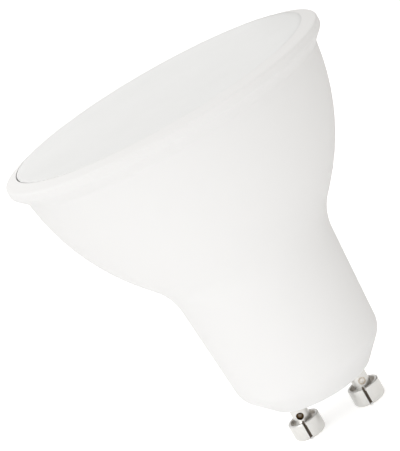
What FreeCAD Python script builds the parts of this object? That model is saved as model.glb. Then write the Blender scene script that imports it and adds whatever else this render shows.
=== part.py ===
import FreeCAD, Part
import math
import os
import Sketcher

# GU10 spotlight bulb: a bell-shaped housing, a front diffuser and two rolled contact pins.
# The origin is the centre of the base's flat face; +Z runs along the axis to the light face,
# and the pins stand below on the X axis with their seams to the front, -Y.

doc = FreeCAD.newDocument("gu10_spotlight_bulb")
sheet = doc.addObject("Spreadsheet::Sheet", "sheet")

# Driving dimensions in millimetres and degrees
driving = [
    # Housing, from the base up
    ("body_height", 48.7),
    ("base_flat_radius", 7.9),
    ("bevel_angle", 47.8),
    ("base_round", 3.4),
    ("neck_draft", 3.2),
    ("neck_top_radius", 12.37),
    ("waist_height", 19.6),
    ("waist_round", 9.0),
    ("flank_length", 1.9),
    ("bell_bow", 34.4),
    # Rim round the light face, with a lip that slopes outward
    ("rim_radius", 25.0),
    ("rim_height", 3.15),
    ("rim_overhang", 1.66),
    ("rim_wall", 2.05),
    ("rim_break", 1.2),
    ("rim_face", 1.25),
    # Diffuser and its seat in the rim
    ("diffuser_clearance", 0.15),
    ("diffuser_thickness", 2.0),
    ("diffuser_break", 0.3),
    ("seat_depth", 2.0),
    ("seat_break", 0.15),
    # Contact pins
    ("pin_spacing", 10.0),
    ("pin_root", 4.0),
    ("pin_clearance", 0.05),
    ("neck_radius", 1.3),
    ("neck_length", 3.4),
    ("head_radius", 2.45),
    ("head_height", 2.8),
    ("head_wall", 0.45),
    ("head_break", 0.5),
    ("cup_depth", 1.6),
    ("slit_width", 0.4),
    ("tongue_width", 0.9),
    ("crimp_radius", 0.6),
    ("crimp_depth", 0.4),
    ("crimp_height", 1.0),
    ("seam_turn", 6.0),
]
for row, (alias, number) in enumerate(driving, start=1):
    sheet.set(f"A{row}", alias)
    sheet.set(f"B{row}", str(number))
    sheet.setAlias(f"B{row}", alias)
doc.recompute()
size = {alias: float(sheet.get(alias)) for alias, number in driving}

START, END, CENTRE = range(1, 4)
ORIGIN = X_AXIS = -1


def vector(x, y):
    return FreeCAD.Vector(x, y, 0)


def toward(degrees, length):
    return vector(length * math.cos(math.radians(degrees)), length * math.sin(math.radians(degrees)))


def bearing(run):
    return math.degrees(math.atan2(run.y, run.x))


def crossing(first, first_degrees, second, second_degrees):
    ahead = toward(first_degrees, 1)
    across = toward(second_degrees, 1)
    return first + ahead * ((second - first).cross(across).z / ahead.cross(across).z)


def new_sketch(body, name, plane_role, offset="0"):
    sketch = body.newObject("Sketcher::SketchObject", name)
    plane = next(feature for feature in body.Origin.OriginFeatures if feature.Role == plane_role)
    sketch.AttachmentSupport = [(plane, "")]
    sketch.MapMode = "FlatFace"
    sketch.setExpression(".AttachmentOffset.Base.z", offset)
    return sketch


def line(sketch, first, last):
    return sketch.addGeometry(Part.LineSegment(first, last))


def arc(sketch, centre, radius, first_degrees, last_degrees):
    circle = Part.Circle(centre, FreeCAD.Vector(0, 0, 1), radius)
    return sketch.addGeometry(Part.ArcOfCircle(circle, math.radians(first_degrees), math.radians(last_degrees)))


def bow(sketch, first, last, radius):
    chord = last - first
    depth = math.sqrt(radius ** 2 - (chord.Length / 2) ** 2)
    centre = first + chord * 0.5 + toward(bearing(chord) + 90, depth)
    return arc(sketch, centre, radius, bearing(first - centre), bearing(last - centre))


def join(sketch, *pairs):
    for first, first_end, second, second_end in pairs:
        sketch.addConstraint(Sketcher.Constraint("Coincident", first, first_end, second, second_end))


def blend(sketch, *pairs):
    for first, first_end, second, second_end in pairs:
        sketch.addConstraint(Sketcher.Constraint("Tangent", first, first_end, second, second_end))


def drive(sketch, expression, *constraint):
    index = sketch.addConstraint(Sketcher.Constraint(*constraint))
    sketch.setExpression(f"Constraints[{index}]", expression)


def place(sketch, geometry, end, across, along):
    here = sketch.getPoint(geometry, end)
    drive(sketch, across, "DistanceX", ORIGIN, START, geometry, end, here.x)
    drive(sketch, along, "DistanceY", ORIGIN, START, geometry, end, here.y)


def level(sketch, *lines):
    for geometry in lines:
        sketch.addConstraint(Sketcher.Constraint("Horizontal", geometry))


def upright(sketch, *lines):
    for geometry in lines:
        sketch.addConstraint(Sketcher.Constraint("Vertical", geometry))


def lean(sketch, expression, geometry, end):
    here = sketch.Geometry[geometry]
    run = here.EndPoint - here.StartPoint if end == START else here.StartPoint - here.EndPoint
    drive(sketch, expression, "Angle", X_AXIS, START, geometry, end, math.radians(bearing(run)))


def revolve(body, sketch, name):
    turned = body.newObject("PartDesign::Revolution", name)
    turned.Profile = sketch
    turned.ReferenceAxis = (sketch, ["V_Axis"])
    turned.Angle = 360
    sketch.Visibility = False
    return turned


def cut(body, sketch, name, depth, outward):
    pocket = body.newObject("PartDesign::Pocket", name)
    pocket.Profile = sketch
    pocket.Reversed = outward
    pocket.setExpression("Length", depth)
    return pocket


# Housing: one moulded bell, turned from its half section

def flank_lean(reach):
    # The flank runs tangent from the waist's round into the bell's bow, which ends at the given reach
    span = size["waist_round"] + size["bell_bow"]
    arm = math.hypot(span, size["flank_length"])
    share = (size["bell_bow"] ** 2 - reach.Length ** 2 - arm ** 2) / (2 * arm * reach.Length)
    offset = bearing(reach) + math.degrees(math.atan2(size["flank_length"], span))
    return math.degrees(math.acos(share)) - offset


def housing_section(sketch):
    base = vector(size["base_flat_radius"], 0)
    neck_end = vector(size["neck_top_radius"], size["waist_height"])
    draft = size["neck_draft"]
    bevel = size["bevel_angle"]
    corner = crossing(base, bevel, neck_end, 90 - draft)
    tangent = size["base_round"] * math.tan(math.radians(90 - draft - bevel) / 2)
    bevel_end = corner - toward(bevel, tangent)
    neck_start = corner + toward(90 - draft, tangent)
    round_centre = bevel_end + toward(bevel + 90, size["base_round"])
    under = size["body_height"] - size["rim_height"]
    bell_top = vector(size["rim_radius"] - size["rim_overhang"], under)
    waist_centre = neck_end + toward(-draft, size["waist_round"])
    slant = flank_lean(bell_top - waist_centre)
    flank_start = waist_centre + toward(180 - slant, size["waist_round"])
    flank_end = flank_start + toward(90 - slant, size["flank_length"])
    edge_start = vector(size["rim_radius"], under + size["rim_break"])
    edge_end = edge_start + vector(0, size["rim_face"])
    seat = size["rim_radius"] - size["rim_wall"]
    crest = vector(seat + size["seat_break"], size["body_height"])
    wall_start = vector(seat, crest.y - size["seat_break"])
    floor = size["body_height"] - size["seat_depth"]

    flat = line(sketch, vector(0, 0), base)
    bevel_side = line(sketch, base, bevel_end)
    base_round = arc(sketch, round_centre, size["base_round"], bevel - 90, -draft)
    neck = line(sketch, neck_start, neck_end)
    waist = arc(sketch, waist_centre, size["waist_round"], 180 - slant, 180 - draft)
    flank = line(sketch, flank_start, flank_end)
    bell = bow(sketch, flank_end, bell_top, size["bell_bow"])
    underside = line(sketch, bell_top, vector(edge_start.x - size["rim_break"], under))
    rim_break = line(sketch, vector(edge_start.x - size["rim_break"], under), edge_start)
    edge = line(sketch, edge_start, edge_end)
    lip = line(sketch, edge_end, crest)
    seat_break = line(sketch, crest, wall_start)
    wall = line(sketch, wall_start, vector(seat, floor))
    seat_floor = line(sketch, vector(seat, floor), vector(0, floor))
    axis = line(sketch, vector(0, floor), vector(0, 0))

    join(sketch, (flat, START, ORIGIN, START), (flat, END, bevel_side, START), (bell, END, underside, START),
         (underside, END, rim_break, START), (rim_break, END, edge, START), (edge, END, lip, START),
         (lip, END, seat_break, START), (seat_break, END, wall, START), (wall, END, seat_floor, START),
         (seat_floor, END, axis, START), (axis, END, flat, START))
    blend(sketch, (bevel_side, END, base_round, START), (base_round, END, neck, START), (neck, END, waist, END),
          (waist, START, flank, START), (flank, END, bell, START))
    level(sketch, flat, underside, seat_floor)
    upright(sketch, edge, wall, axis)
    drive(sketch, "sheet.base_flat_radius", "DistanceX", flat, START, flat, END, base.x)
    lean(sketch, "sheet.bevel_angle", bevel_side, START)
    lean(sketch, "90 - sheet.neck_draft", neck, START)
    place(sketch, neck, END, "sheet.neck_top_radius", "sheet.waist_height")
    place(sketch, bell, END, "sheet.rim_radius - sheet.rim_overhang", "sheet.body_height - sheet.rim_height")
    drive(sketch, "sheet.rim_break", "DistanceX", underside, END, edge, START, size["rim_break"])
    place(sketch, edge, START, "sheet.rim_radius", "sheet.body_height - sheet.rim_height + sheet.rim_break")
    drive(sketch, "sheet.rim_face", "Distance", edge, size["rim_face"])
    place(sketch, lip, END, "sheet.rim_radius - sheet.rim_wall + sheet.seat_break", "sheet.body_height")
    place(sketch, wall, START, "sheet.rim_radius - sheet.rim_wall", "sheet.body_height - sheet.seat_break")
    drive(sketch, "sheet.seat_depth - sheet.seat_break", "Distance", wall, wall_start.y - floor)
    drive(sketch, "sheet.flank_length", "Distance", flank, size["flank_length"])
    for geometry, alias in ((base_round, "base_round"), (waist, "waist_round"), (bell, "bell_bow")):
        drive(sketch, f"sheet.{alias}", "Radius", geometry, size[alias])


def make_housing():
    body = doc.addObject("PartDesign::Body", "housing")
    section = new_sketch(body, "housing_section", "XZ_Plane")
    housing_section(section)
    revolve(body, section, "housing_bell")
    sockets = new_sketch(body, "pin_sockets", "XY_Plane")
    for side in (-1, 1):
        centre = vector(side * size["pin_spacing"] / 2, 0)
        radius = size["neck_radius"] + size["pin_clearance"]
        ring = sockets.addGeometry(Part.Circle(centre, FreeCAD.Vector(0, 0, 1), radius))
        place(sockets, ring, CENTRE, f"{side} * sheet.pin_spacing / 2", "0")
        drive(sockets, "sheet.neck_radius + sheet.pin_clearance", "Radius", ring, radius)
    cut(body, sockets, "socket_holes", "sheet.pin_root", outward=True)
    return body


# Diffuser: an opal disc with a broken edge, seated in the rim

def make_diffuser():
    body = doc.addObject("PartDesign::Body", "diffuser")
    section = new_sketch(body, "diffuser_section", "XZ_Plane")
    floor = size["body_height"] - size["seat_depth"]
    face = floor + size["diffuser_thickness"]
    radius = size["rim_radius"] - size["rim_wall"] - size["diffuser_clearance"]
    edge_end = vector(radius, face - size["diffuser_break"])
    face_edge = vector(radius - size["diffuser_break"], face)

    underside = line(section, vector(0, floor), vector(radius, floor))
    edge = line(section, vector(radius, floor), edge_end)
    broken = line(section, edge_end, face_edge)
    front = line(section, face_edge, vector(0, face))
    axis = line(section, vector(0, face), vector(0, floor))

    join(section, (underside, END, edge, START), (edge, END, broken, START), (broken, END, front, START),
         (front, END, axis, START), (axis, END, underside, START))
    level(section, underside, front)
    upright(section, edge, axis)
    place(section, underside, START, "0", "sheet.body_height - sheet.seat_depth")
    drive(section, "sheet.rim_radius - sheet.rim_wall - sheet.diffuser_clearance", "Distance", underside, radius)
    drive(section, "sheet.diffuser_thickness", "Distance", axis, size["diffuser_thickness"])
    drive(section, "sheet.diffuser_break", "DistanceX", broken, END, broken, START, size["diffuser_break"])
    drive(section, "sheet.diffuser_break", "DistanceY", broken, START, broken, END, size["diffuser_break"])
    revolve(body, section, "diffuser_disc")
    return body


# Contact pin: sheet rolled into a neck and an open cup, with the seam of the roll left as a slit

def pin_section(sketch):
    head = size["head_radius"]
    shoulder = -size["neck_length"]
    bottom = shoulder - size["head_height"]
    cup_floor = shoulder - size["cup_depth"]
    foot_edge = vector(head - size["head_break"], bottom)
    outside_start = vector(head, bottom + size["head_break"])

    foot = line(sketch, vector(0, bottom), foot_edge)
    head_break = line(sketch, foot_edge, outside_start)
    outside = line(sketch, outside_start, vector(head, shoulder))
    lip = line(sketch, vector(head, shoulder), vector(head - size["head_wall"], shoulder))
    inside = line(sketch, vector(head - size["head_wall"], shoulder), vector(head - size["head_wall"], cup_floor))
    cup = line(sketch, vector(head - size["head_wall"], cup_floor), vector(size["neck_radius"], cup_floor))
    neck = line(sketch, vector(size["neck_radius"], cup_floor), vector(size["neck_radius"], size["pin_root"]))
    root = line(sketch, vector(size["neck_radius"], size["pin_root"]), vector(0, size["pin_root"]))
    axis = line(sketch, vector(0, size["pin_root"]), vector(0, bottom))

    join(sketch, (foot, END, head_break, START), (head_break, END, outside, START), (outside, END, lip, START),
         (lip, END, inside, START), (inside, END, cup, START), (cup, END, neck, START), (neck, END, root, START),
         (root, END, axis, START), (axis, END, foot, START))
    level(sketch, foot, lip, cup, root)
    upright(sketch, outside, inside, neck, axis)
    place(sketch, outside, END, "sheet.head_radius", "-sheet.neck_length")
    place(sketch, inside, END, "sheet.head_radius - sheet.head_wall", "-sheet.neck_length - sheet.cup_depth")
    place(sketch, neck, END, "sheet.neck_radius", "sheet.pin_root")
    place(sketch, foot, START, "0", "-sheet.neck_length - sheet.head_height")
    drive(sketch, "sheet.head_break", "DistanceX", head_break, START, head_break, END, size["head_break"])
    drive(sketch, "sheet.head_break", "DistanceY", head_break, START, head_break, END, size["head_break"])


def rectangle(sketch, low, high, low_bounds, high_bounds):
    corners = [low, vector(high.x, low.y), high, vector(low.x, high.y)]
    sides = [line(sketch, corners[turn], corners[(turn + 1) % 4]) for turn in range(4)]
    join(sketch, *[(sides[turn], END, sides[(turn + 1) % 4], START) for turn in range(4)])
    level(sketch, sides[0], sides[2])
    upright(sketch, sides[1], sides[3])
    place(sketch, sides[0], START, *low_bounds)
    place(sketch, sides[2], START, *high_bounds)


def make_pin(name, side):
    body = doc.addObject("PartDesign::Body", name)
    section = new_sketch(body, f"{name}_section", "XZ_Plane")
    pin_section(section)
    revolve(body, section, f"{name}_roll")

    # Tongue of sheet that turns from the neck into the cup's wall beside the seam
    tongue = new_sketch(body, f"{name}_tongue", "XY_Plane", "-sheet.neck_length - sheet.cup_depth")
    half_slit = size["slit_width"] / 2
    outer = size["head_wall"] - size["head_radius"]
    rectangle(tongue, vector(-half_slit - size["tongue_width"], outer), vector(-half_slit, 0),
              ("-sheet.slit_width / 2 - sheet.tongue_width", "sheet.head_wall - sheet.head_radius"),
              ("-sheet.slit_width / 2", "0"))
    web = body.newObject("PartDesign::Pad", f"{name}_web")
    web.Profile = tongue
    web.setExpression("Length", "sheet.cup_depth")

    # Seam of the roll, open through the cup's wall from its lip to its foot
    seam = new_sketch(body, f"{name}_seam", "XZ_Plane", "sheet.head_radius - sheet.head_wall")
    rectangle(seam, vector(-half_slit, -size["neck_length"] - size["head_height"]),
              vector(half_slit, -size["neck_length"]),
              ("-sheet.slit_width / 2", "-sheet.neck_length - sheet.head_height"),
              ("sheet.slit_width / 2", "-sheet.neck_length"))
    cut(body, seam, f"{name}_slit", "2 * sheet.head_wall", outward=True)

    # Crimp punched into the neck over the lead wire
    punch = new_sketch(body, f"{name}_punch", "XZ_Plane", "sheet.neck_radius - sheet.crimp_depth")
    centre = vector(0, size["crimp_height"] - size["neck_length"])
    ring = punch.addGeometry(Part.Circle(centre, FreeCAD.Vector(0, 0, 1), size["crimp_radius"]))
    place(punch, ring, CENTRE, "0", "sheet.crimp_height - sheet.neck_length")
    drive(punch, "sheet.crimp_radius", "Radius", ring, size["crimp_radius"])
    cut(body, punch, f"{name}_crimp", "2 * sheet.crimp_depth", outward=True)

    body.Placement = FreeCAD.Placement(FreeCAD.Vector(0, 0, 0), FreeCAD.Rotation(FreeCAD.Vector(0, 0, -1), 1))
    body.setExpression(".Placement.Base.x", f"{side} * sheet.pin_spacing / 2")
    body.setExpression(".Placement.Rotation.Angle", "sheet.seam_turn")
    return body


nodes = [make_housing(), make_diffuser(), make_pin("contact_pin_left", -1), make_pin("contact_pin_right", 1)]
doc.recompute()

# Every feature must hold, and every cut must have taken material away
for item in doc.Objects:
    if "Invalid" in item.State or "Error" in item.State:
        raise RuntimeError(f"{item.Name} failed: {item.State}")
    if item.TypeId == "PartDesign::Pocket" and item.Shape.Volume >= item.BaseFeature.Shape.Volume:
        raise RuntimeError(f"{item.Name} cut nothing")
for body in nodes:
    if body.Shape.isNull() or not body.Shape.isValid() or len(body.Shape.Solids) != 1:
        raise RuntimeError(f"{body.Label} is not one valid solid")

os.makedirs("parts", exist_ok=True)
for body in nodes:
    body.Shape.exportStep(f"parts/{body.Label}.step")
    box = body.Shape.BoundBox
    print(f"{body.Label}: volume {body.Shape.Volume:.2f} mm3, Z {box.ZMin:.2f} to {box.ZMax:.2f} mm")
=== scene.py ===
import bmesh
import bpy
import math
from mathutils import Matrix, Vector


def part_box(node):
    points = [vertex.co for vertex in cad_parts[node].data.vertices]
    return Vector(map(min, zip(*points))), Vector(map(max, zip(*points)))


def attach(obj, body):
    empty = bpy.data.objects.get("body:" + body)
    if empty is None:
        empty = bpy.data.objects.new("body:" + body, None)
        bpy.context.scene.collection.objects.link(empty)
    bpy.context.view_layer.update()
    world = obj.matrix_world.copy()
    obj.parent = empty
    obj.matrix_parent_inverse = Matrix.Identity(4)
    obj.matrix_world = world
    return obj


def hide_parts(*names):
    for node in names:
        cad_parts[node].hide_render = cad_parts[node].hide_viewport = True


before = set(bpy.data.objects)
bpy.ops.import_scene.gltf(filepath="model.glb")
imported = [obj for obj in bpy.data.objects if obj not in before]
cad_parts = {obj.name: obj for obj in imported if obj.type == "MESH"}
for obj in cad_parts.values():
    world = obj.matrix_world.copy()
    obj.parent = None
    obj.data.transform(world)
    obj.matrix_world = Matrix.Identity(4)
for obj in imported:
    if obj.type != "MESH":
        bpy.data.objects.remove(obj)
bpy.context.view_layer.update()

# GU10 spotlight bulb: a white bell housing, an opal front and two rolled contact pins.
# Sizes are in millimetres, from the base's flat face at z 0 up the axis to the light face.

mm = 0.001
onAxis = 1e-6        # closer to the axis than this is on it
reliefShare = 0.25   # height of a fine relief, as a share of its pattern's size
scene = bpy.context.scene


def linearColour(hexText):  # sRGB hex to the linear colour that the nodes take
    channels = [int(hexText[at:at + 2], 16) / 255 for at in (0, 2, 4)]
    return [c / 12.92 if c <= 0.04045 else ((c + 0.055) / 1.055) ** 2.4 for c in channels] + [1.0]


def addNode(tree, kind, inputs, **settings):  # a socket as a value is linked, anything else is set
    node = tree.nodes.new(kind)
    for name, value in settings.items():
        setattr(node, name, value)
    for socket, value in inputs.items():
        if isinstance(value, bpy.types.NodeSocket):
            tree.links.new(value, node.inputs[socket])
        else:
            node.inputs[socket].default_value = value
    return node


def newMaterial(name):
    material = bpy.data.materials.new(name)
    material.use_nodes = True
    material.node_tree.nodes.clear()
    return material, material.node_tree


def perMetre(sizeMm):  # noise scale whose features are about this size
    return 1 / (sizeMm * mm)


# Outlines and turned pieces

def roundedOutline(corners, longest, bend):  # corners are (r, z, round); long runs and rounds get points
    points = [Vector(corner[:2]) for corner in corners]
    track = [points[0]]
    for before, here, after, corner in zip(points, points[1:], points[2:], corners[1:]):
        arrive = (here - before).normalized()
        leave = (after - here).normalized()
        turn = math.atan2(arrive.cross(leave), arrive.dot(leave))
        reach = corner[2] * math.tan(abs(turn) / 2)
        steps = max(1, math.ceil(abs(math.degrees(turn)) / bend)) if corner[2] else 0
        start = here - arrive * reach
        side = Vector((-arrive.y, arrive.x)) * math.copysign(corner[2], turn)
        centre = start + side
        track.append(start)
        for step in range(1, steps + 1):
            angle = turn * step / steps
            spoke = Vector((-side.x * math.cos(angle) + side.y * math.sin(angle),
                            -side.x * math.sin(angle) - side.y * math.cos(angle)))
            track.append(centre + spoke)
    track.append(points[-1])
    filled = [track[0]]
    for first, last in zip(track, track[1:]):
        parts = max(1, math.ceil((last - first).length / longest))
        filled += [first.lerp(last, part / parts) for part in range(1, parts + 1)]
    return filled


def turnedMesh(name, outline, around):  # spins an outline that starts and ends on the axis
    shape = bmesh.new()
    rings = []
    for point in outline:
        if point.x < onAxis:
            rings.append([shape.verts.new((0, 0, point.y * mm))])
            continue
        angles = [2 * math.pi * step / around for step in range(around)]
        rings.append([shape.verts.new((point.x * math.cos(a) * mm, point.x * math.sin(a) * mm, point.y * mm))
                      for a in angles])
    for lower, upper in zip(rings, rings[1:]):
        for step in range(around):
            following = (step + 1) % around
            if len(lower) == 1:
                shape.faces.new((lower[0], upper[following], upper[step]))
            elif len(upper) == 1:
                shape.faces.new((lower[step], lower[following], upper[0]))
            else:
                shape.faces.new((lower[step], lower[following], upper[following], upper[step]))
    bmesh.ops.recalc_face_normals(shape, faces=shape.faces)
    return meshObject(name, shape)


def meshObject(name, shape):
    mesh = bpy.data.meshes.new(name)
    shape.to_mesh(mesh)
    shape.free()
    mesh.shade_smooth()
    thing = bpy.data.objects.new(name, mesh)
    scene.collection.objects.link(thing)
    return thing


def roundBar(name, radius, length, around, matrix):  # a cylinder from its place along its own +Z
    shape = bmesh.new()
    bmesh.ops.create_cone(shape, cap_ends=True, segments=around, radius1=radius * mm, radius2=radius * mm,
                          depth=length * mm, matrix=matrix @ Matrix.Translation((0, 0, length * mm / 2)))
    return meshObject(name, shape)


def squareBar(name, low, high):
    shape = bmesh.new()
    bmesh.ops.create_cube(shape, size=1)
    size = Vector(high) - Vector(low)
    middle = (Vector(high) + Vector(low)) / 2
    bmesh.ops.transform(shape, verts=shape.verts,
                        matrix=Matrix.Translation(middle * mm) @ Matrix.Diagonal((*(size * mm), 1)))
    return meshObject(name, shape)


def combine(piece, tools):  # joins or cuts with each tool, then keeps the result as plain mesh
    for tool, operation in tools:
        step = piece.modifiers.new("shape", "BOOLEAN")
        step.object = tool
        step.operation = operation
        step.solver = "EXACT"
        step.material_mode = "TRANSFER"
    bake(piece)
    for tool, operation in tools:
        bpy.data.objects.remove(tool)


def bake(piece):
    ready = piece.evaluated_get(bpy.context.evaluated_depsgraph_get())
    mesh = bpy.data.meshes.new_from_object(ready)
    piece.modifiers.clear()
    piece.data = mesh


# Materials

# PBT, injection moulded in a spark-eroded tool: satin white, a very fine grain, faint flow mottling.
# The real grain is some hundredths of a millimetre, drawn about ten times coarser so that it shows.
def mouldedPlastic():
    look = {"white": "f5f5f4", "mottle": "f2f1ef", "mottleMm": 6.0, "grainMm": 0.35, "grain": 0.04,
            "ior": 1.5, "gloss": (0.55, 0.63)}
    material, tree = newMaterial("mouldedWhitePbt")
    place = addNode(tree, "ShaderNodeTexCoord", {})
    flow = addNode(tree, "ShaderNodeTexNoise", {"Vector": place.outputs["Object"],
                                                "Scale": perMetre(look["mottleMm"]), "Detail": 3.0})
    tint = addNode(tree, "ShaderNodeMix", {"Factor": flow.outputs["Fac"], "A": linearColour(look["white"]),
                                           "B": linearColour(look["mottle"])}, data_type="RGBA")
    grain = addNode(tree, "ShaderNodeTexNoise", {"Vector": place.outputs["Object"],
                                                 "Scale": perMetre(look["grainMm"]), "Detail": 2.0})
    gloss = addNode(tree, "ShaderNodeMapRange", {"Value": grain.outputs["Fac"], "To Min": look["gloss"][0],
                                                 "To Max": look["gloss"][1]})
    relief = addNode(tree, "ShaderNodeBump", {"Height": grain.outputs["Fac"], "Strength": look["grain"],
                                              "Distance": look["grainMm"] * mm * reliefShare})
    surface = addNode(tree, "ShaderNodeBsdfPrincipled", {"Base Color": tint.outputs["Result"],
                                                         "IOR": look["ior"],
                                                         "Roughness": gloss.outputs["Result"],
                                                         "Normal": relief.outputs["Normal"]})
    addNode(tree, "ShaderNodeOutputMaterial", {"Surface": surface.outputs["BSDF"]})
    return material


# Opal polycarbonate, moulded with a frosted face: milky, light sinks in and spreads.
# The real frost is far finer than 0.3 mm and is drawn coarse enough to show.
def opalPlastic():
    look = {"milk": "e4e5e5", "cloud": "dfe0e0", "cloudMm": 9.0, "frostMm": 0.3, "frost": 0.05,
            "spreadMm": 0.8, "ior": 1.58, "gloss": (0.45, 0.55)}
    material, tree = newMaterial("opalPolycarbonate")
    place = addNode(tree, "ShaderNodeTexCoord", {})
    cloud = addNode(tree, "ShaderNodeTexNoise", {"Vector": place.outputs["Object"],
                                                 "Scale": perMetre(look["cloudMm"]), "Detail": 2.0})
    tint = addNode(tree, "ShaderNodeMix", {"Factor": cloud.outputs["Fac"], "A": linearColour(look["milk"]),
                                           "B": linearColour(look["cloud"])}, data_type="RGBA")
    frost = addNode(tree, "ShaderNodeTexNoise", {"Vector": place.outputs["Object"],
                                                 "Scale": perMetre(look["frostMm"]), "Detail": 2.0})
    gloss = addNode(tree, "ShaderNodeMapRange", {"Value": frost.outputs["Fac"], "To Min": look["gloss"][0],
                                                 "To Max": look["gloss"][1]})
    relief = addNode(tree, "ShaderNodeBump", {"Height": frost.outputs["Fac"], "Strength": look["frost"],
                                              "Distance": look["frostMm"] * mm * reliefShare})
    surface = addNode(tree, "ShaderNodeBsdfPrincipled", {"Base Color": tint.outputs["Result"],
                                                         "IOR": look["ior"],
                                                         "Subsurface Weight": 1.0,
                                                         "Subsurface Radius": (1, 1, 1),
                                                         "Subsurface Scale": look["spreadMm"] * mm,
                                                         "Roughness": gloss.outputs["Result"],
                                                         "Normal": relief.outputs["Normal"]})
    addNode(tree, "ShaderNodeOutputMaterial", {"Surface": surface.outputs["BSDF"]})
    return material


# Bright nickel on rolled brass strip: soft mirror, with faint draw lines up the sheet.
# The real lines are a few hundredths of a millimetre wide and are drawn coarser so that they show.
def nickelPlate():
    look = {"nickel": "d3d2cf", "dull": "cccbc8", "stainMm": 1.2, "lineMm": 0.08, "line": 0.08,
            "alongStrip": (1, 1, 0.05), "gloss": (0.3, 0.4)}
    material, tree = newMaterial("nickelPlatedStrip")
    place = addNode(tree, "ShaderNodeTexCoord", {})
    stain = addNode(tree, "ShaderNodeTexNoise", {"Vector": place.outputs["Object"],
                                                 "Scale": perMetre(look["stainMm"]), "Detail": 4.0})
    tint = addNode(tree, "ShaderNodeMix", {"Factor": stain.outputs["Fac"], "A": linearColour(look["nickel"]),
                                           "B": linearColour(look["dull"])}, data_type="RGBA")
    drawn = addNode(tree, "ShaderNodeMapping", {"Vector": place.outputs["Object"],
                                                "Scale": look["alongStrip"]})
    lines = addNode(tree, "ShaderNodeTexNoise", {"Vector": drawn.outputs["Vector"],
                                                 "Scale": perMetre(look["lineMm"]), "Detail": 2.0})
    gloss = addNode(tree, "ShaderNodeMapRange", {"Value": stain.outputs["Fac"], "To Min": look["gloss"][0],
                                                 "To Max": look["gloss"][1]})
    relief = addNode(tree, "ShaderNodeBump", {"Height": lines.outputs["Fac"], "Strength": look["line"],
                                              "Distance": look["lineMm"] * mm * reliefShare})
    surface = addNode(tree, "ShaderNodeBsdfPrincipled", {"Base Color": tint.outputs["Result"],
                                                         "Metallic": 1.0,
                                                         "Roughness": gloss.outputs["Result"],
                                                         "Normal": relief.outputs["Normal"]})
    addNode(tree, "ShaderNodeOutputMaterial", {"Surface": surface.outputs["BSDF"]})
    return material


# Unpolished metal: two shades in soft patches, dull enough to blur all it mirrors.
def metalPatches(name, look):
    material, tree = newMaterial(name)
    place = addNode(tree, "ShaderNodeTexCoord", {})
    patch = addNode(tree, "ShaderNodeTexNoise", {"Vector": place.outputs["Object"],
                                                 "Scale": perMetre(look["patchMm"]), "Detail": 2.0})
    tint = addNode(tree, "ShaderNodeMix", {"Factor": patch.outputs["Fac"], "A": linearColour(look["light"]),
                                           "B": linearColour(look["dark"])}, data_type="RGBA")
    gloss = addNode(tree, "ShaderNodeMapRange", {"Value": patch.outputs["Fac"], "To Min": look["gloss"][0],
                                                 "To Max": look["gloss"][1]})
    surface = addNode(tree, "ShaderNodeBsdfPrincipled", {"Base Color": tint.outputs["Result"],
                                                         "Metallic": 1.0,
                                                         "Roughness": gloss.outputs["Result"]})
    addNode(tree, "ShaderNodeOutputMaterial", {"Surface": surface.outputs["BSDF"]})
    return material


def flashNickelPaintedLight():  # thin nickel plating inside the roll, never burnished: satin, its warm grey painted lighter than the outer plate as painted light in the hollows
    return metalPatches("thinNickelFlashPaintedLight", {"light": "e6e3df", "dark": "d2cec8", "patchMm": 0.5,
                                            "gloss": (0.5, 0.62)})


def rubbedNickel():  # plating rubbed by the punch, brass showing through in flecks: pale, light brown spots
    return metalPatches("rubbedNickel", {"light": "e4dfd6", "dark": "ac9c84", "patchMm": 0.22,
                                         "gloss": (0.45, 0.6)})


def cutBrassPaintedShade():  # sheared brass along the seam and in the left crimp, bare and tarnished: grey-brown, darkened as painted shade in the slit and the crimp
    return metalPatches("tarnishedCutBrassPaintedShade", {"light": "8c8276", "dark": "6a6157", "patchMm": 0.3,
                                              "gloss": (0.5, 0.6)})


def brownedBrassPaintedShade():  # bare brass in the crimp, browned by the solder's heat, with a bronze glint from its gloss; its dark tone is painted shade of the hole
    return metalPatches("heatBrownedBrassPaintedShade", {"light": "725a38", "dark": "2a1f14", "patchMm": 0.35,
                                             "gloss": (0.3, 0.45)})


print("materials")
plastic = mouldedPlastic()
opal = opalPlastic()
nickel = nickelPlate()
flashPaintedLight = flashNickelPaintedLight()
rubbed = rubbedNickel()
cutEdgePaintedShade = cutBrassPaintedShade()
brownedAndPaintedShade = brownedBrassPaintedShade()


# Housing

housing = {
    "rimRadius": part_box("housing")[1].x / mm,
    "baseFlat": (7.9, 0.4),         # radius, edge round
    "bevelCorner": (11.5, 3.97, 3.4),
    "waistCorner": (12.53, 22.54, 9.0),
    "bellCorner": (22.09, 34.16, 34.4),
    "rimRoot": (23.31, 45.05, 0.7),  # where the sloped underside of the rim leaves the bell
    "rimLower": (46.75, 0.5),       # height of the rim's lower edge, and its round
    "rimUpper": (48.0, 0.4),        # height of the rim's upper edge, where the lip starts, and its round
    "crest": (22.95, 0.03),         # radius of the lip's crest, and its round
    "crestDrop": 0.06,              # below the solid's top, which brings it level with the disc's edge
    "top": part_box("housing")[1].z / mm,
    "seatFloor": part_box("diffuser")[0].z / mm,
    "socketGap": 0.05,              # round each pin's neck
    "socketAround": 48,
    "around": 256,
    "longest": 1.2,
    "bend": 4.0,
}


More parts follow.
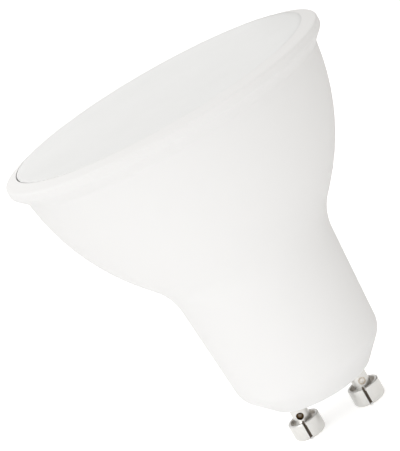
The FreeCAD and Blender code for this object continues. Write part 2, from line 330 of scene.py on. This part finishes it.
def makeHousing(size):
    corners = [
        (0, 0, 0),
        (size["baseFlat"][0], 0, size["baseFlat"][1]),
        size["bevelCorner"],
        size["waistCorner"],
        size["bellCorner"],
        size["rimRoot"],
        (size["rimRadius"], *size["rimLower"]),
        (size["rimRadius"], *size["rimUpper"]),
        (size["crest"][0], size["top"] - size["crestDrop"], size["crest"][1]),
        (size["crest"][0], size["seatFloor"], 0),
        (0, size["seatFloor"], 0),
    ]
    body = turnedMesh("housing_shell", roundedOutline(corners, size["longest"], size["bend"]), size["around"])
    holes = []
    for side in (-1, 1):
        place = Matrix.Translation((side * pin["spacing"] / 2 * mm, 0, -pin["overrun"] * mm))
        socket = roundBar("socketTool", pin["neckRadius"] + size["socketGap"], pin["root"] + pin["overrun"],
                          size["socketAround"], place)
        holes.append((socket, "DIFFERENCE"))
    combine(body, holes)
    body.data.materials.append(plastic)
    return body


# Diffuser

diffuser = {
    "radius": 22.87,
    "low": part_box("diffuser")[0].z / mm,
    "high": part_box("diffuser")[1].z / mm,
    "seatGap": 0.05,                # off the floor of its seat
    "topDrop": 0.05,                # room for the askew edge under the solid's top
    "crown": 0.01,                  # how far the middle stands above the edge
    "edgeRound": 0.03,
    "lean": (0.11, -0.03),          # pressed to the right in its seat, so the gap opens on the left
    "askew": 0.088,                 # degrees, a touch higher at the back left
    "around": 256,
    "longest": 1.2,
    "bend": 15.0,
}


def makeDiffuser(size):
    seat = size["low"] + size["seatGap"]
    top = size["high"] - size["topDrop"]
    corners = [
        (0, seat, 0),
        (size["radius"], seat, 0),
        (size["radius"], top - size["crown"], size["edgeRound"]),
        (0, top, 0),
    ]
    disc = turnedMesh("diffuser_disc", roundedOutline(corners, size["longest"], size["bend"]), size["around"])
    middle = Matrix.Translation((0, 0, top * mm))
    tip = middle @ Matrix.Rotation(math.radians(size["askew"]), 4, (1, 1, 0)) @ middle.inverted()
    disc.data.transform(Matrix.Translation((size["lean"][0] * mm, size["lean"][1] * mm, 0)) @ tip)
    disc.data.materials.append(opal)
    return disc


# Contact pins: a strip rolled into a neck and an open cup, with the seam of the roll left as a slit

pin = {
    "spacing": 10.0,
    "root": 4.0,                    # how far the neck runs up into the base
    "neckRadius": 1.3,
    "shoulder": -3.4,
    "headRadius": 2.45,
    "foot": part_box("contact_pin_left")[0].z / mm,
    "wall": 0.45,
    "cupDepth": 0.85,
    "cupRound": 0.2,
    "footRound": 0.6,
    "lipRound": 0.16,
    "slit": 0.44,
    "slitDepth": 1.1,
    "tongue": 0.9,                  # width beside the slit
    "tongueBite": 0.2,              # into the cup's wall and floor
    "tongueBack": 0.4,              # from the axis, inside the neck
    "tongueDrop": 0.02,             # below the lip
    "crimpRadius": 0.58,
    "crimpHeight": -2.6,
    "crimpAround": 40,
    "coreAround": 24,
    "crimp": {"left": {"turn": -5.0, "depth": 0.75, "coreRadius": 0.26, "coreDepth": 0.35},
              "right": {"turn": 14.0, "depth": 0.22, "coreRadius": 0.36, "coreDepth": 0.08}},
    "seamTurn": -6.0,
    "edgeBreak": 0.05,
    "breakAngle": 40.0,             # edges sharper than this are broken
    "breakSteps": 2,
    "overrun": 1.0,                 # how far a cutting tool runs past the metal
    "around": 96,
    "longest": 0.5,
    "bend": 15.0,
}


def makePin(name, side, punch, crimpFinishAndPaintedShade, coreFinishAndPaintedLight):
    inner = pin["headRadius"] - pin["wall"]
    cupFloor = pin["shoulder"] - pin["cupDepth"]
    corners = [
        (0, pin["foot"], 0),
        (pin["headRadius"], pin["foot"], pin["footRound"]),
        (pin["headRadius"], pin["shoulder"], pin["lipRound"]),
        (inner, pin["shoulder"], pin["lipRound"]),
        (inner, cupFloor, pin["cupRound"]),
        (pin["neckRadius"], cupFloor, pin["cupRound"]),
        (pin["neckRadius"], pin["root"], 0),
        (0, pin["root"], 0),
    ]
    roll = turnedMesh(name, roundedOutline(corners, pin["longest"], pin["bend"]), pin["around"])
    roll.data.materials.append(nickel)
    # second slot: the lighter nickel for the inside of the cup, painted light in the hollows
    roll.data.materials.append(flashPaintedLight)
    hollow = inner + pin["lipRound"] / 2
    for face in roll.data.polygons:
        deep = pin["neckRadius"] < face.center.xy.length / mm < hollow
        face.material_index = int(deep and pin["foot"] < face.center.z / mm < pin["shoulder"])
    half = pin["slit"] / 2
    bite = pin["tongueBite"]
    tongue = squareBar("tongueTool", (-half - pin["tongue"], -inner - bite, cupFloor - bite),
                       (0, -pin["tongueBack"], pin["shoulder"] - pin["tongueDrop"]))
    tongue.data.materials.append(nickel)
    slit = squareBar("slitTool", (-half, -pin["headRadius"] - pin["overrun"], pin["foot"] - pin["overrun"]),
                     (half, pin["slitDepth"] - pin["headRadius"], 0))
    # the slit's walls take the dark cut brass: painted shade in the slit
    slit.data.materials.append(cutEdgePaintedShade)
    punchLine = (Matrix.Rotation(math.radians(punch["turn"]), 4, "Z")
                 @ Matrix.Translation((0, 0, pin["crimpHeight"] * mm)) @ Matrix.Rotation(math.pi / 2, 4, "X"))
    floorAt = Matrix.Translation((0, 0, (pin["neckRadius"] - punch["depth"]) * mm))
    crimp = roundBar("crimpTool", pin["crimpRadius"], 2 * pin["overrun"], pin["crimpAround"],
                     punchLine @ floorAt)
    crimp.data.materials.append(crimpFinishAndPaintedShade)
    core = roundBar("coreTool", punch["coreRadius"], pin["neckRadius"] - punch["coreDepth"],
                    pin["coreAround"], punchLine)
    core.data.materials.append(coreFinishAndPaintedLight)
    combine(roll, [(tongue, "UNION"), (slit, "DIFFERENCE"), (crimp, "DIFFERENCE"), (core, "UNION")])
    edges = roll.modifiers.new("edgeBreak", "BEVEL")
    edges.limit_method = "ANGLE"
    edges.angle_limit = math.radians(pin["breakAngle"])
    edges.width = pin["edgeBreak"] * mm
    edges.segments = pin["breakSteps"]
    bake(roll)
    roll.data.transform(Matrix.Translation((side * pin["spacing"] / 2 * mm, 0, 0))
                        @ Matrix.Rotation(math.radians(pin["seamTurn"]), 4, "Z"))
    roll.data.shade_smooth()
    return roll


print("pieces")
shell = makeHousing(housing)
disc = makeDiffuser(diffuser)
# left crimp: brown brass darkened as painted shade, its core dark cut brass as painted shade
leftPin = makePin("contact_pin_roll_left", -1, pin["crimp"]["left"], brownedAndPaintedShade, cutEdgePaintedShade)
# right crimp's core takes the lighter inside nickel: painted light
rightPin = makePin("contact_pin_roll_right", 1, pin["crimp"]["right"], rubbed, flashPaintedLight)
for piece, node, slotName in ((shell, "housing", "white_plastic"), (disc, "diffuser", "opal_plastic"),
                              (leftPin, "contact_pin_left", "plated_pin"),
                              (rightPin, "contact_pin_right", "plated_pin")):
    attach(piece, "root")
    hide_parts(node)
    print(" ", piece.name, len(piece.data.polygons), "faces")


# Studio: white paper floor, soft light from the left front, lamps on the left and two grey cards on the right

studio = {
    "floorMm": 3000.0,
    "paper": "f5f5f5",
    "paperGlow": 0.3,               # lifts the seen floor to white and leaves its shadow
    "floorLamp": {"strength": 0.43, "spread": 120.0},
    "floorSpot": {"at": (-30.0, -50.0, 55.0), "aim": (-30.0, -50.0, -6.0), "wide": 90.0, "watts": 0.016},
    "sky": {"colour": "fffdfa", "strength": 0.805},
    "soft": {"colour": "fcfdff", "strength": 0.83, "from": (-0.58, -0.815, 0.0),
             "narrow": 2.0},
    "topLamp": {"at": (-65.0, 20.0, 160.0), "aim": (0.0, 0.0, 48.0), "wide": 60.0, "watts": 0.032},
    "pinLamp": {"at": (-52.0, -42.0, 40.0), "aim": (0.0, 0.0, -5.0), "wide": 40.0, "watts": 0.03},
    "sideCard": {"colour": "c4c2be", "at": (84.0, 42.0), "wide": 138.0, "tall": 55.0, "lift": -6.0,
                 "turn": 24.0},
    "edgeCard": {"colour": "5a5855", "at": (50.0, 36.0), "wide": 60.0, "tall": 70.0, "lift": -6.0,
                 "turn": 70.0},
}


def seenWhite(tree):  # 1 on rays from the camera, in mirror-like surfaces and through clear ones
    ray = addNode(tree, "ShaderNodeLightPath", {})
    seen = addNode(tree, "ShaderNodeMath", {0: ray.outputs["Is Camera Ray"], 1: ray.outputs["Is Glossy Ray"]},
                   operation="MAXIMUM")
    through = addNode(tree, "ShaderNodeMath", {0: seen.outputs["Value"],
                                               1: ray.outputs["Is Transmission Ray"]}, operation="MAXIMUM")
    return through.outputs["Value"]


def makeFloor():
    shape = bmesh.new()
    bmesh.ops.create_grid(shape, x_segments=1, y_segments=1, size=studio["floorMm"] * mm / 2,
                          matrix=Matrix.Translation((0, 0, pin["foot"] * mm)))
    floor = meshObject("studio_floor", shape)
    material, tree = newMaterial("whitePaperFloor")
    paper = addNode(tree, "ShaderNodeBsdfDiffuse", {"Color": linearColour(studio["paper"])})
    glow = addNode(tree, "ShaderNodeEmission", {"Strength": studio["paperGlow"]})
    lit = addNode(tree, "ShaderNodeAddShader", {0: paper.outputs["BSDF"], 1: glow.outputs["Emission"]})
    look = addNode(tree, "ShaderNodeMixShader", {"Fac": seenWhite(tree), 1: paper.outputs["BSDF"],
                                                 2: lit.outputs["Shader"]})
    addNode(tree, "ShaderNodeOutputMaterial", {"Surface": look.outputs["Shader"]})
    floor.data.materials.append(material)
    return floor


def makeWorld():
    world = bpy.data.worlds.new("studio_white")
    scene.world = world
    world.use_nodes = True
    tree = world.node_tree
    tree.nodes.clear()
    place = addNode(tree, "ShaderNodeTexCoord", {})
    facing = addNode(tree, "ShaderNodeVectorMath", {0: place.outputs["Generated"], 1: studio["soft"]["from"]},
                     operation="DOT_PRODUCT")
    ahead = addNode(tree, "ShaderNodeMath", {0: facing.outputs["Value"], 1: 0.0}, operation="MAXIMUM")
    spread = addNode(tree, "ShaderNodeMath", {0: ahead.outputs["Value"], 1: studio["soft"]["narrow"]},
                     operation="POWER")
    level = addNode(tree, "ShaderNodeMath", {0: spread.outputs["Value"], 1: studio["soft"]["strength"]},
                    operation="MULTIPLY")
    soft = addNode(tree, "ShaderNodeBackground", {"Color": linearColour(studio["soft"]["colour"]),
                                                  "Strength": level.outputs["Value"]})
    sky = addNode(tree, "ShaderNodeBackground", {"Color": linearColour(studio["sky"]["colour"]),
                                                 "Strength": studio["sky"]["strength"]})
    light = addNode(tree, "ShaderNodeAddShader", {0: sky.outputs["Background"],
                                                  1: soft.outputs["Background"]})
    white = addNode(tree, "ShaderNodeBackground", {"Color": linearColour("ffffff"), "Strength": 1.0})
    look = addNode(tree, "ShaderNodeMixShader", {"Fac": seenWhite(tree), 1: light.outputs["Shader"],
                                                 2: white.outputs["Background"]})
    addNode(tree, "ShaderNodeOutputWorld", {"Surface": look.outputs["Shader"]})


def onlyOn(lamp, name, things):  # the lamp lights and is shaded by these things alone
    group = bpy.data.collections.new(name)
    for thing in things:
        group.objects.link(thing)
    lamp.light_linking.receiver_collection = group
    lamp.light_linking.blocker_collection = group


def makeFloorLamps(floor):  # even light and one wide spot for the paper alone: white bounces up the bell
    lamp = bpy.data.lights.new("floor_lamp", "SUN")
    lamp.energy = studio["floorLamp"]["strength"]
    lamp.angle = math.radians(studio["floorLamp"]["spread"])
    wash = bpy.data.objects.new("floor_lamp", lamp)
    scene.collection.objects.link(wash)
    onlyOn(wash, "paper_only", [floor])
    onlyOn(makeSoftBox("floor_spot", studio["floorSpot"]), "paper_spot", [floor])


def makeSoftBox(name, box):
    lamp = bpy.data.lights.new(name, "AREA")
    lamp.energy = box["watts"]
    lamp.size = box["wide"] * mm
    stand = bpy.data.objects.new(name, lamp)
    stand.location = Vector(box["at"]) * mm
    stand.rotation_euler = (Vector(box["aim"]) - Vector(box["at"])).to_track_quat("-Z", "Y").to_euler()
    scene.collection.objects.link(stand)
    return stand


def makeCard(name, card):  # grey card that the camera doesn't see
    shape = bmesh.new()
    bmesh.ops.create_grid(shape, x_segments=1, y_segments=1, size=mm / 2)
    middle = (card["at"][0], card["at"][1], card["lift"] + card["tall"] / 2)
    stand = (Matrix.Translation(Vector(middle) * mm)
             @ Matrix.Rotation(math.radians(card["turn"] - 90), 4, "Z") @ Matrix.Rotation(math.pi / 2, 4, "X")
             @ Matrix.Diagonal((card["wide"], card["tall"], 1, 1)))
    bmesh.ops.transform(shape, verts=shape.verts, matrix=stand)
    flag = meshObject(name, shape)
    material, tree = newMaterial(name)
    matt = addNode(tree, "ShaderNodeBsdfDiffuse", {"Color": linearColour(card["colour"])})
    addNode(tree, "ShaderNodeOutputMaterial", {"Surface": matt.outputs["BSDF"]})
    flag.data.materials.append(material)
    flag.visible_camera = False
    return flag


def makeCamera():
    view = {"place": (0, -297.5, 101.4), "tiltDown": 13.62, "turnLeft": 0.734, "roll": 29.9,
            "lens": 171.46, "sensor": 36.0}
    lens = bpy.data.cameras.new("camera")
    lens.lens = view["lens"]
    lens.sensor_width = view["sensor"]
    lens.clip_start = mm
    camera = bpy.data.objects.new("camera", lens)
    scene.collection.objects.link(camera)
    turn = (Matrix.Rotation(math.radians(90 - view["tiltDown"]), 4, "X")
            @ Matrix.Rotation(math.radians(view["turnLeft"]), 4, "Y")
            @ Matrix.Rotation(math.radians(-view["roll"]), 4, "Z"))
    camera.matrix_world = Matrix.Translation(Vector(view["place"]) * mm) @ turn
    scene.camera = camera


print("studio")
makeFloorLamps(makeFloor())
makeWorld()
# high on the left, which shades the light face from left to right
makeSoftBox("top_lamp", studio["topLamp"])
# front left, into the hollows of the pins
onlyOn(makeSoftBox("pin_lamp", studio["pinLamp"]), "pins_only", [leftPin, rightPin])
makeCard("side_card", studio["sideCard"])  # takes light from the right side
edgeCard = makeCard("edge_card", studio["edgeCard"])  # in reflections alone, draws the right-hand edges
edgeCard.visible_diffuse = False
edgeCard.visible_shadow = False
makeCamera()
scene.view_settings.view_transform = "Standard"
